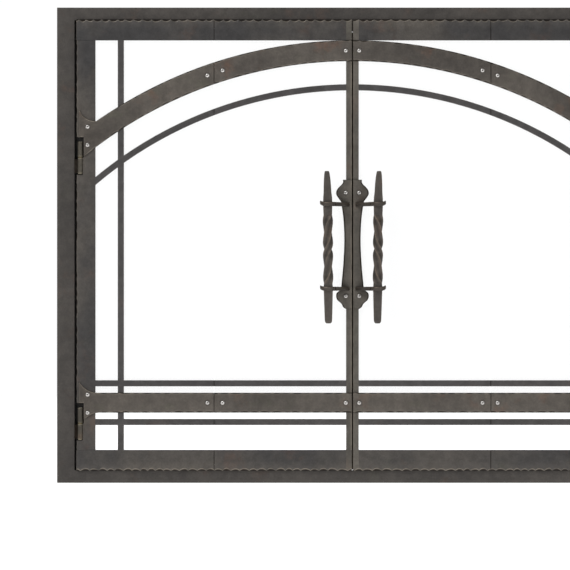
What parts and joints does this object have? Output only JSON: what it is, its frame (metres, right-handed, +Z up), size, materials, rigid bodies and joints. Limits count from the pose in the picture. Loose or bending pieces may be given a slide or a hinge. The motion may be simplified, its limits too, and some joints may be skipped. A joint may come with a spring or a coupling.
{
  "type": "fireplace screen",
  "caption": "Arched hand-forged fireplace door screen: a fixed frame carries two bifold glass doors with slim bars, hammered straps and twisted pull handles.",
  "frame": {"origin": "middle of the frame's base, at mid-depth of the frame's flanges, on the hearth", "axes": "+X to the right seen from the room, +Y into the fireplace, +Z up"},
  "size_m": [0.978, 0.1004, 0.787],
  "materials": {
    "frame_bronze": "dark bronze patina, satin",
    "leaf_bronze": "dark bronze patina on hand-forged steel, satin",
    "slim_bronze": "dark bronze patina, satin",
    "strap_bronze": "burnished bronze patina with worn hammered edges",
    "handle_bronze": "dark bronze patina, worn along the twist's edges",
    "hinge_bronze": "olive bronze patina",
    "black_steel": "matte black stove paint",
    "bright_steel": "bright stainless steel",
    "zinc_steel": "zinc-plated steel",
    "brass": "aged brass",
    "clear_glass": "clear tempered glass, polished"
  },
  "bodies": {
    "frame": {"left_jamb": "frame_bronze", "right_jamb": "frame_bronze", "frame_head": "frame_bronze", "frame_sill": "frame_bronze", "jamb_baffles": "black_steel", "frame_knuckles": "hinge_bronze", "hinge_pins": "brass", "magnet_catches": "black_steel"},
    "left_outer_leaf": {"left_hinge_stile": "leaf_bronze", "left_outer_top_rail": "leaf_bronze", "left_outer_bottom_rail": "leaf_bronze", "left_outer_slim_bars": "slim_bronze", "left_slim_upright": "slim_bronze", "left_outer_lower_strap": "strap_bronze", "left_outer_arch_strap": "strap_bronze", "left_outer_glass": "clear_glass", "left_outer_glass_clips": "zinc_steel", "left_outer_screws": "bright_steel", "left_door_knuckles": "hinge_bronze", "left_outer_fold_hinges": "hinge_bronze", "left_fold_pins": "bright_steel"},
    "left_inner_leaf": {"left_meeting_stile": "leaf_bronze", "left_inner_top_rail": "leaf_bronze", "left_inner_bottom_rail": "leaf_bronze", "left_inner_slim_bars": "slim_bronze", "left_inner_lower_strap": "strap_bronze", "left_inner_arch_strap": "strap_bronze", "left_inner_glass": "clear_glass", "left_inner_glass_clips": "zinc_steel", "left_inner_screws": "bright_steel", "left_backplate": "handle_bronze", "left_handle_bar": "handle_bronze", "left_handle_arms": "handle_bronze", "left_inner_fold_hinges": "hinge_bronze"},
    "right_outer_leaf": {"right_hinge_stile": "leaf_bronze", "right_outer_top_rail": "leaf_bronze", "right_outer_bottom_rail": "leaf_bronze", "right_outer_slim_bars": "slim_bronze", "right_slim_upright": "slim_bronze", "right_outer_lower_strap": "strap_bronze", "right_outer_arch_strap": "strap_bronze", "right_outer_glass": "clear_glass", "right_outer_glass_clips": "zinc_steel", "right_outer_screws": "bright_steel", "right_door_knuckles": "hinge_bronze", "right_outer_fold_hinges": "hinge_bronze", "right_fold_pins": "bright_steel"},
    "right_inner_leaf": {"right_meeting_stile": "leaf_bronze", "right_inner_top_rail": "leaf_bronze", "right_inner_bottom_rail": "leaf_bronze", "right_inner_slim_bars": "slim_bronze", "right_inner_lower_strap": "strap_bronze", "right_inner_arch_strap": "strap_bronze", "right_inner_glass": "clear_glass", "right_inner_glass_clips": "zinc_steel", "right_inner_screws": "bright_steel", "right_backplate": "handle_bronze", "right_handle_bar": "handle_bronze", "right_handle_arms": "handle_bronze", "right_inner_fold_hinges": "hinge_bronze"}
  },
  "joints": [
    {"name": "left_door", "type": "hinge", "parent": "frame", "child": "left_outer_leaf", "pos_m": [-0.45003, -0.02817, 0.3935], "axis": [0, 0, 1], "range_deg": [-90, 0]},
    {"name": "left_fold", "type": "hinge", "parent": "left_outer_leaf", "child": "left_inner_leaf", "pos_m": [-0.22872, -0.01567, 0.3935], "axis": [0, 0, 1], "range_deg": [0, 180]},
    {"name": "right_door", "type": "hinge", "parent": "frame", "child": "right_outer_leaf", "pos_m": [0.45003, -0.02817, 0.3935], "axis": [0, 0, 1], "range_deg": [0, 90]},
    {"name": "right_fold", "type": "hinge", "parent": "right_outer_leaf", "child": "right_inner_leaf", "pos_m": [0.22872, -0.01567, 0.3935], "axis": [0, 0, 1], "range_deg": [-180, 0]}
  ],
  "couplings": [
    {"joint": "left_fold", "follows": "left_door", "ratio": -2},
    {"joint": "right_fold", "follows": "right_door", "ratio": -2}
  ]
}
